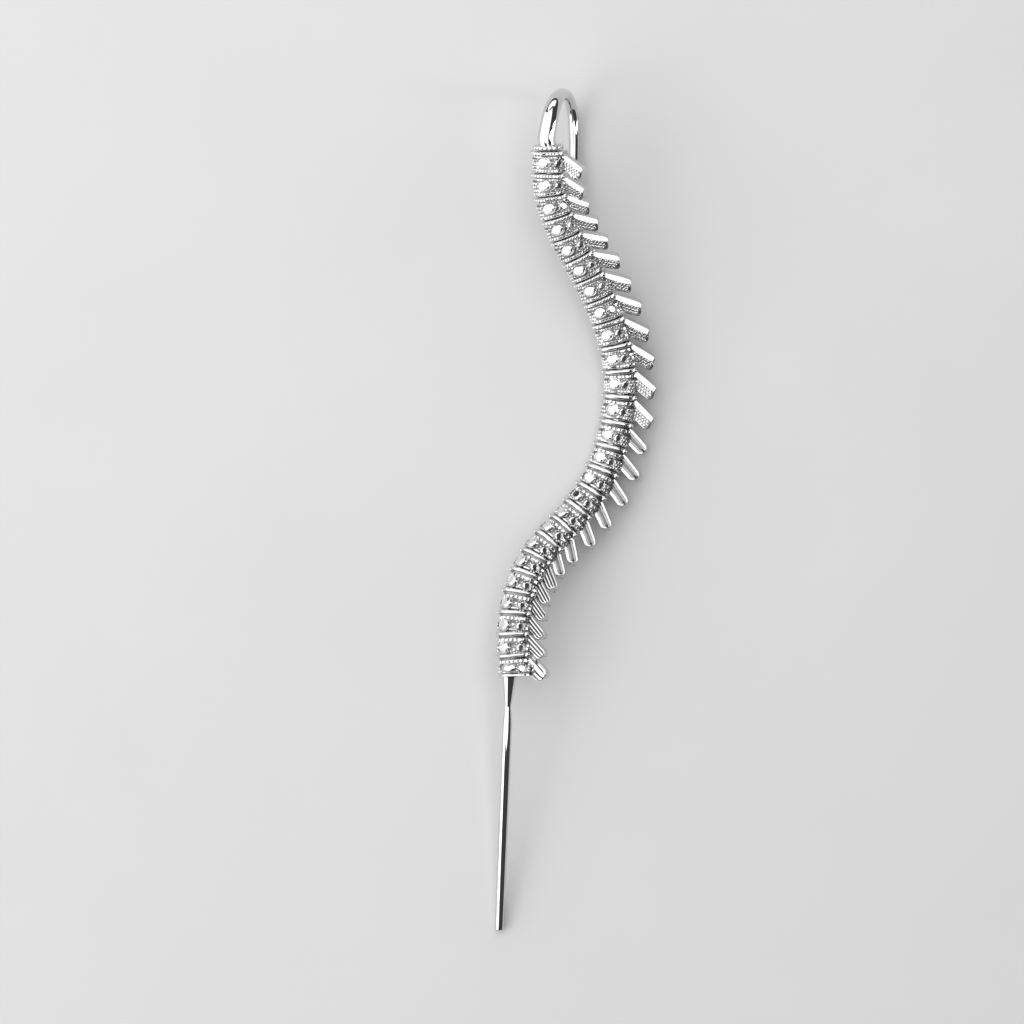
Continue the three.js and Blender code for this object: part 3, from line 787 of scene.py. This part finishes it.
def fin_rings(shape, style):
    """Rings along a fin, each from its foot up the front and down the back, and the shade painted on their
    fronts.
    """
    root, tip, reach, lean = shape["root"], shape["tip"], shape["reach"], shape["lean"]
    pave = style == "pave"
    corner = tip * (FIN_CORNER_SHARE if pave else ROUND_CORNER_SHARE)
    straight = reach - corner
    lip, jut = (FACET_LIP, FIN_JUT) if pave else (0.0, 0.0)
    edge, bevel = FIN_EDGE, FIN_EDGE * 0.3

    def half_height(x):
        half = (root + (tip - root) * x / reach) / 2
        if x > straight:
            half -= corner - math.sqrt(max(corner**2 - (x - straight) ** 2, 0.0))
        return half

    def root_x(y):
        flat = (-FIN_ROOT_SINK - y * math.sin(lean)) / math.cos(lean)
        return max(flat, (y * math.cos(lean) - shape["top"]) / math.sin(lean))

    places = [straight * k / FIN_RINGS for k in range(FIN_RINGS + 1)]
    places += [straight + corner * math.sin(math.pi / 2 * k / TIP_RINGS) for k in range(1, TIP_RINGS + 1)]
    rings, recess = [], []
    for x in places:
        half = half_height(x)
        past = max(0.0, x - straight) / corner
        low = FIN_LOWER_LIP[style] * (1.0 if pave else 1 - 0.6 * past**2)
        back = TIP_FALL * (1 - math.sqrt(max(1 - past**4, 0.0)))
        fade = 1.0 if pave else max(0.0, 1 - past * 1.3) ** 0.5
        top, foot = half + lip, -half - low
        facet = facet_foot(x / reach)
        ring, dark = [], []
        for v in front_shares(facet):
            relief, shade = fin_relief(style, v, shape, facet)
            y = foot + edge + (half - foot - 2 * edge) * v + lip * max(v - facet, 0) / (1 - facet)
            ring.append((y, FIN_DEPTH - back - relief * fade))
            # The painted shade fades out towards a round tip, as the relief does.
            dark.append(shade * min(fade * 1.5, 1.0))
        recess.append(dark + [0.0] * BACK_POINTS)
        lower, upper = ring[0][1], ring[-1][1]
        ring += [(top - bevel, upper - bevel), (top, upper - edge)]
        ring += [(half, back + edge), (half - bevel, back + bevel), (half - edge, back)]
        ring += [(-half + edge, back), (-half + bevel, back + bevel), (-half, back + edge)]
        ring += [(foot, lower - edge), (foot + bevel, lower - bevel)]
        start = 1 - min(x / (straight * 0.6), 1.0)
        points = []
        for y, z in ring:
            below = min(max((half * 0.5 - y) / (half * 1.5 + low), 0.0), 1.0)
            slanted = x + root_x(y) * start + jut * below * (x / reach) ** 4
            points.append(shape["matrix"] @ Vector((slanted, y, z)))
        rings.append(points)
    return rings, recess


def make_fins():
    stock = Stock()
    for vertebra in VERTEBRAE_LIST:
        rings, recess = fin_rings(fin_station(vertebra), fin_style(vertebra.index))
        stock.loft(rings, recess=recess)
    return finish_piece("fins", stock.mesh("fins"), WHITE_METAL, "polished_metal", crease=28)


# Stones and their settings
# Half profiles of the two kinds of rim, as shares of the stone's width.
MAIN_RIM = [(0.5, -0.5), (0.565, -0.42), (0.565, 0.02), (0.55, 0.045)]
MAIN_RIM += [(0.525, 0.04), (0.505, 0.0), (0.44, -0.1)]
SECOND_RIM = [(0.52, -0.6), (0.6, -0.5), (0.6, -0.02), (0.57, 0.03)]
SECOND_RIM += [(0.525, 0.02), (0.505, -0.01), (0.44, -0.1)]
SECOND_RISE = 0.07
# The beads that hold the stones: six claws on each main stone's edge, and a ring round each second stone.
CLAWS = 6
CLAW_SIZE = (0.17, 0.17, 0.2)
RING_BEADS = 11
RING_RADIUS = 0.47
RING_BEAD_SIZE = (0.19, 0.19, 0.2)
# The openwork by the last fin's root: place down the vertebra, degrees from the front, lift, width of a bead.
OPENWORK = [(0.6, -70, 0.05, 0.3), (0.8, -66, 0.05, 0.34), (0.7, -78, 0.22, 0.3), (0.88, -76, 0.3, 0.28)]
DROP_SIZE = (0.34, 0.34, 0.4)
# The two beads of each ridge: place, degrees from the front, lift, the body's size there, width of a bead.
RIDGE_BEADS = [(0.11, -66, -0.03, 1.02, 0.52), (0.105, 84, -0.1, 1.06, 0.4)]
# The small stones: their width and spacing, and how far round the skin they go from the front.
PAVE_STONE = 0.27
PAVE_SPACING = 1.07
PAVE_REACH = 2.45
WAIST_REACH = 2.2
PAVE_BEAD = 0.36
FIN_PAVE_STONE = 0.26
FIN_PAVE_START = 0.12
# How near the tip each row of a pave fin's stones may come, as a share of a stone, from its foot upwards.
FIN_PAVE_ENDS = (0.6, 0.4, 0.5)


def main_stretch(vertebra):
    """The upper stones are a little wider than they are high; lower down they are round."""
    part = min(max((vertebra.index - 9) / 5, 0.0), 1.0)
    return 1.28 - 0.28 * part, 0.86 + 0.12 * part


def make_main_stones():
    places = []
    for vertebra in VERTEBRAE_LIST[:-1]:
        across, along = main_stretch(vertebra)
        places.append((vertebra.main_seat(GIRDLE_RISE), (across, along, 1)))
    mesh = set_forms("main stones", BRILLIANT, places, CLEAR_STONE, MAIN_STONE, loose=0.2, seed=3)
    nodes = [f"stone_{vertebra.index + 1:02d}" for vertebra in VERTEBRAE_LIST[:-1]]
    finish_piece("main_stones", mesh, CLEAR_STONE, "clear_stone", *nodes)
    rims = set_forms("main rims", turned_form(MAIN_RIM, 28), places, WHITE_METAL, MAIN_STONE)
    finish_piece("main_stone_rims", rims, WHITE_METAL, "polished_metal", crease=50)


def make_second_stones():
    places = [(vertebra.second_seat(SECOND_RISE), (1, 1, 1)) for vertebra in VERTEBRAE_LIST]
    mesh = set_forms("second stones", BRILLIANT, places, CLEAR_STONE, SECOND_STONE, loose=0.4, seed=5)
    finish_piece("second_stones", mesh, CLEAR_STONE, "clear_stone")
    rims = set_forms("second rims", turned_form(SECOND_RIM, 24), places, WHITE_METAL, SECOND_STONE)
    finish_piece("second_stone_rims", rims, WHITE_METAL, "polished_metal", crease=50)


def beads_round(seat, count, first, radii, size):
    """So many beads on an oval ring round a seat, the first of them turned on by a share of a step."""
    spots = []
    for k in range(count):
        turn = 2 * math.pi * (k + first) / count
        spot = Matrix.Translation((radii[0] * math.cos(turn), radii[1] * math.sin(turn), 0))
        spots.append((seat @ spot, size))
    return spots


def setting_beads():
    """Claws over each main stone's edge and a ring of raised beads round each second stone."""
    places = []
    for vertebra in VERTEBRAE_LIST:
        if not vertebra.closing:
            across, along = main_stretch(vertebra)
            edge = (MAIN_STONE / 2 * across, MAIN_STONE / 2 * along)
            places += beads_round(vertebra.main_seat(GIRDLE_RISE + 0.02), CLAWS, 0.5, edge, CLAW_SIZE)
        seat = vertebra.second_seat(0.03)
        places += beads_round(seat, RING_BEADS, 0, (RING_RADIUS, RING_RADIUS), RING_BEAD_SIZE)
    return places


def joining_beads():
    """Beads of the openwork under the last fin's root, and the drop under the last pave fin's tip."""
    places = []
    for share, turn, lift, across in OPENWORK:
        places.append((VERTEBRAE_LIST[-1].seat(share, math.radians(turn), lift), (across,) * 3))
    fin = fin_station(VERTEBRAE_LIST[PAVE_FINS - 1])
    drop = Matrix.Translation((fin["reach"] - 0.3, -fin["tip"] / 2 - 0.08, FIN_DEPTH * 0.8))
    places.append((fin["matrix"] @ drop, DROP_SIZE))
    return places


def pave_rows(vertebra):
    """Rows of small stones on a body: where they lie, the body's size there, and the width of a stone."""
    waist, begin = vertebra.waist()
    rows = [(waist, 0.9, min(max((begin - WAIST_START) * vertebra.length * 0.86, 0.24), 0.38))]
    count = max(2, int((0.92 - begin) * vertebra.length / (PAVE_STONE * 1.04)))
    top, bottom = begin + 0.06, 0.96
    rows += [(top + (bottom - top) * (k + 0.5) / count, 1.0, PAVE_STONE) for k in range(count)]
    if vertebra.index < PAVE_RIDGES:
        rows.append((0.105, 1.05, PAVE_STONE))
    return rows


def larger_stones(vertebra):
    """What the small stones keep clear of: the middle of each larger stone, or of the dome, and how far."""
    first = (vertebra.seat(DOME_PLACE, DOME_TURN), 0.8) if vertebra.closing else (vertebra.main_seat(), 0.64)
    return [(seat.to_translation(), keep) for seat, keep in (first, (vertebra.second_seat(), 0.45))]


def pave_places():
    """The small stones round each body and the beads between them."""
    stones, beads = [], []
    for vertebra in VERTEBRAE_LIST:
        larger = larger_stones(vertebra)
        for number, (share, size, across) in enumerate(pave_rows(vertebra)):
            step = across * PAVE_SPACING
            most = int((PAVE_REACH if number else WAIST_REACH) / step)
            shift = 0.5 * (number % 2)
            for k in range(-most, most + 1):
                spot = vertebra.skin(share, skin_turn((k + shift) * step, size), size, 0.005)
                here = spot.to_translation()
                if number and any((here - middle).length < keep + across * 0.3 for middle, keep in larger):
                    continue
                stones.append((spot, (across,) * 3))
                turn = skin_turn((k + shift + 0.5) * step, size)
                for side in (-0.5, 0.5):
                    lift = side * across * 0.62 / vertebra.length
                    beads.append((vertebra.skin(share + lift, turn, size, -0.01), (across * PAVE_BEAD,) * 3))
    return stones, beads


def fin_pave():
    """Rows of small stones on the front of each pave fin, with a bead beyond each stone."""
    stones, beads = [], []
    for vertebra in VERTEBRAE_LIST[:PAVE_FINS]:
        shape = fin_station(vertebra)
        root, tip, reach = shape["root"], shape["tip"], shape["reach"]
        across = FIN_PAVE_STONE * (0.85 + 0.15 * root)
        low = FIN_LOWER_LIP["pave"]
        for row, end in enumerate(FIN_PAVE_ENDS):
            for k in range(7):
                x = FIN_PAVE_START + across * 1.08 * (k + 0.5 * (row % 2))
                if x > reach - across * end:
                    continue
                half = (root + (tip - root) * x / reach) / 2
                y = FIN_EDGE - half - low + (2 * half + low - 2 * FIN_EDGE) * (0.14 + 0.22 * row)
                spot = Matrix.Translation((x, y, FIN_DEPTH - 0.05))
                stones.append((shape["matrix"] @ spot, (across,) * 3))
                spot = Matrix.Translation((x + across * 0.54, y, FIN_DEPTH - 0.07))
                beads.append((shape["matrix"] @ spot, (across * 0.4,) * 3))
    return stones, beads


def make_pave():
    stones, beads = pave_places()
    more_stones, more_beads = fin_pave()
    mesh = set_forms("pave stones", SINGLE_CUT, stones + more_stones, CLEAR_STONE, loose=0.4, seed=11)
    finish_piece("pave_stones", mesh, CLEAR_STONE, "clear_stone")
    mesh = set_forms("pave beads", BEAD, beads + more_beads, WHITE_METAL, seed=13)
    finish_piece("pave_beads", mesh, WHITE_METAL, "polished_metal")
    mesh = set_forms("joining beads", LARGE_BEAD, joining_beads(), WHITE_METAL)
    finish_piece("joining_beads", mesh, WHITE_METAL, "polished_metal")
    mesh = set_forms("setting beads", BEAD, setting_beads(), WHITE_METAL)
    finish_piece("setting_beads", mesh, WHITE_METAL, "polished_metal")


def make_ridge_beads():
    """A large bead at the fin's end of each ridge and one at its other end."""
    places = []
    for vertebra in VERTEBRAE_LIST:
        for share, turn, lift, size, across in RIDGE_BEADS:
            places.append((vertebra.seat(share, math.radians(turn), lift, size), (across,) * 3))
    mesh = set_forms("ridge beads", LARGE_BEAD, places, WHITE_METAL)
    finish_piece("ridge_beads", mesh, WHITE_METAL, "polished_metal")


# Hook, closing dome, cone and pin
WIRE_STEPS = 150


def round_ring(origin, side, front, radius, sides):
    """The points of a circle round an origin, starting at the front."""
    return [
        origin + (front * math.cos(turn) - side * math.sin(turn)) * radius
        for turn in (2 * math.pi * i / sides for i in range(sides))
    ]


def make_hook():
    """The hook's tapered wire with its rounded end, the collar at its foot and the beads round the collar."""
    start = Station(0, -COLLAR_HEIGHT)
    points = []
    for axis, right, rise, reach, _ in HOOK_LINE:
        offset = Vector((right, rise * HOOK_RISE, -reach * HOOK_REACH))
        points.append(start.origin - start.down * axis * HOOK_RISE + offset)
    path = Path(points)
    rings = []
    for step in range(WIRE_STEPS + 1):
        share = step / WIRE_STEPS
        place = share * (len(HOOK_LINE) - 1)
        row = min(int(place), len(HOOK_LINE) - 2)
        radius = HOOK_LINE[row][4] + (HOOK_LINE[row + 1][4] - HOOK_LINE[row][4]) * (place - row)
        along = path.along(share)
        side = Vector((1, 0, 0))
        side = (side - along * along.x).normalized()
        front = along.cross(side)
        left = min((1 - share) * WIRE_STEPS / 4, 1.0)
        radius *= HOOK_BASE_RADIUS * (0.35 + 0.65 * math.sqrt(1 - (1 - left) ** 2))
        rings.append(round_ring(path.at(share), side, front, radius, 40))
    stock = Stock().loft(rings)
    finish_piece("hook_wire", stock.mesh("hook"), WIRE_METAL, "polished_metal", "ear_hook", crease=50)
    collar = Stock()
    rows = [(-COLLAR_HEIGHT - 0.08, 0.66), (-COLLAR_HEIGHT - 0.03, 0.76)]
    rows += [(-COLLAR_HEIGHT + 0.04, COLLAR_SIZE), (-0.16, 0.83), (-0.08, 0.8), (-JOINT_GAP / 2, 0.7)]
    collar.loft([body_ring(Station(0, shift), size) for shift, size in rows])
    finish_piece("hook_collar", collar.mesh("collar"), WHITE_METAL, "polished_metal", crease=50)
    places = []
    station = Station(0, -COLLAR_HEIGHT * 0.6)
    for k in range(-4, 6):
        turn = skin_turn(k * 0.42, COLLAR_SIZE)
        out = station.out(turn)
        middle = station.origin + out * (skin_radius(turn, COLLAR_SIZE) - 0.04)
        places.append((basis(middle, out, -station.down), (0.36,) * 3))
    mesh = set_forms("collar beads", LARGE_BEAD, places, WHITE_METAL)
    finish_piece("collar_beads", mesh, WHITE_METAL, "polished_metal")


def make_core():
    rings = []
    for step in range(WIRE_STEPS + 1):
        station = Station(step / WIRE_STEPS * VERTEBRAE)
        rings.append(round_ring(station.origin, station.side, station.front, CORE_RADIUS, 24))
    core = Stock().loft(rings).mesh("core")
    finish_piece("core_wire_round", core, WIRE_METAL, "polished_metal", "core_wire")


def make_closing_dome():
    """The polished oval on the last vertebra: a quarter round turned about Z and stretched."""
    angles = [math.pi / 2 * k / 8 for k in range(8)]
    profile = [(0.5, -0.3)] + [(0.5 * math.cos(angle), math.sin(angle)) for angle in angles]
    places = [(VERTEBRAE_LIST[-1].seat(DOME_PLACE, DOME_TURN), (DOME_WIDTH, DOME_HEIGHT, DOME_RISE))]
    dome = set_forms("dome", turned_form(profile, 36), places, WHITE_METAL)
    finish_piece("closing_dome", dome, WHITE_METAL, "polished_metal")


def make_pin():
    """The base plate under the last vertebra, and the cone, shoulder and pin below it in one turned form."""
    bottom = Station(VERTEBRAE)
    plate = Stock()
    edge = 0.05
    rows = [(JOINT_GAP / 2, 0.93), (JOINT_GAP / 2 + edge, 0.98), (JOINT_GAP / 2 + PLATE_HEIGHT - edge, 0.98)]
    rows.append((JOINT_GAP / 2 + PLATE_HEIGHT, 0.93))
    plate.loft([body_ring(Station(VERTEBRAE, shift), size) for shift, size in rows])
    left, back = (math.tan(math.radians(angle)) for angle in (PIN_LEAN_LEFT, PIN_LEAN_BACK))
    lean = Vector((-left, -1, -back)).normalized()
    top = bottom.origin + bottom.down * (JOINT_GAP / 2 + PLATE_HEIGHT / 2) - bottom.side * CONE_SHIFT
    side = Vector((1, 0, 0))
    side = (side - lean * lean.x).normalized()
    front = lean.cross(side)
    end = CONE_LENGTH + PIN_LENGTH
    rows = [(0, CONE_TOP_RADIUS), (CONE_LENGTH * 0.5, (CONE_TOP_RADIUS + CONE_TIP_RADIUS) / 2)]
    rows += [(CONE_LENGTH - 0.03, CONE_TIP_RADIUS + 0.004), (CONE_LENGTH + 0.04, CONE_TIP_RADIUS)]
    rows += [(CONE_LENGTH + PIN_SHOULDER * 0.7, PIN_RADIUS * 0.93), (CONE_LENGTH + PIN_SHOULDER, PIN_RADIUS)]
    rows += [(end - PIN_CHAMFER, PIN_RADIUS), (end - 0.04, PIN_RADIUS - 0.02)]
    rows += [(end - 0.01, PIN_RADIUS - 0.06), (end, PIN_RADIUS - 0.12)]
    plate.loft([round_ring(top + lean * distance, side, front, radius, 48) for distance, radius in rows])
    finish_piece("lobe_pin_polished", plate.mesh("pin"), WIRE_METAL, "polished_metal", "lobe_pin", crease=35)


make_bodies()
make_fins()
make_main_stones()
make_second_stones()
make_pave()
make_ridge_beads()
make_hook()
make_core()
make_closing_dome()
make_pin()


# Table, lights and camera
def make_stage():
    mesh = mesh_from("table top", [(-1, -1, 0), (1, -1, 0), (1, 1, 0), (-1, 1, 0)], [(0, 1, 2, 3)])
    mesh.materials.append(PALE_TABLE)
    table = bpy.data.objects.new("table_top", mesh)
    bpy.context.scene.collection.objects.link(table)


def add_light(name, place, aim, size, power):
    light = bpy.data.lights.new(name, "AREA")
    light.shape = "RECTANGLE"
    light.size, light.size_y = size
    light.energy = power
    lamp = bpy.data.objects.new(name, light)
    lamp.location = place
    lamp.rotation_euler = (Vector(aim) - Vector(place)).to_track_quat("-Z", "Y").to_euler()
    bpy.context.scene.collection.objects.link(lamp)


def make_lights():
    """Soft boxes overhead, low on the left and to the lower left, and two strips, in a dark room."""
    world = bpy.data.worlds.new("dark room")
    world.use_nodes = True
    world.node_tree.nodes["Background"].inputs["Color"].default_value = (0.06, 0.06, 0.062, 1)
    world.node_tree.nodes["Background"].inputs["Strength"].default_value = 1.0
    bpy.context.scene.world = world
    bpy.context.scene.view_settings.view_transform = "Standard"
    add_light("overhead soft box", (-0.17, 0.17, 0.4), (-0.17, 0.17, 0), (0.66, 0.7), 2.6)
    add_light("low left soft box", (-0.5, 0.0, 0.2), (0, 0, 0.01), (0.9, 0.4), 2.0)
    add_light("lower left soft box", (-0.44, -0.3, 0.28), (0, 0, 0.005), (0.5, 0.4), 1.0)
    add_light("strip beyond the hook", (0.0, 0.5, 0.2), (0, 0, 0.005), (0.7, 0.2), 0.66)
    add_light("right strip", (0.36, 0.0, 0.16), (0, 0, 0.005), (0.05, 0.4), 0.3)


def make_camera():
    data = bpy.data.cameras.new("camera")
    camera = bpy.data.objects.new("camera", data)
    bpy.context.scene.collection.objects.link(camera)
    distance = 0.6
    data.sensor_width = 36
    data.lens = 36 * distance / (PICTURE_WIDTH * 0.001)
    data.clip_start, data.clip_end = 0.01, 10
    turn = TABLE_FROM_WORN.to_quaternion()
    camera.rotation_mode = "QUATERNION"
    camera.rotation_quaternion = turn
    camera.location = TABLE_FROM_WORN @ PICTURE_MIDDLE + turn @ Vector((0, 0, distance))
    bpy.context.scene.camera = camera


make_stage()
make_lights()
make_camera()
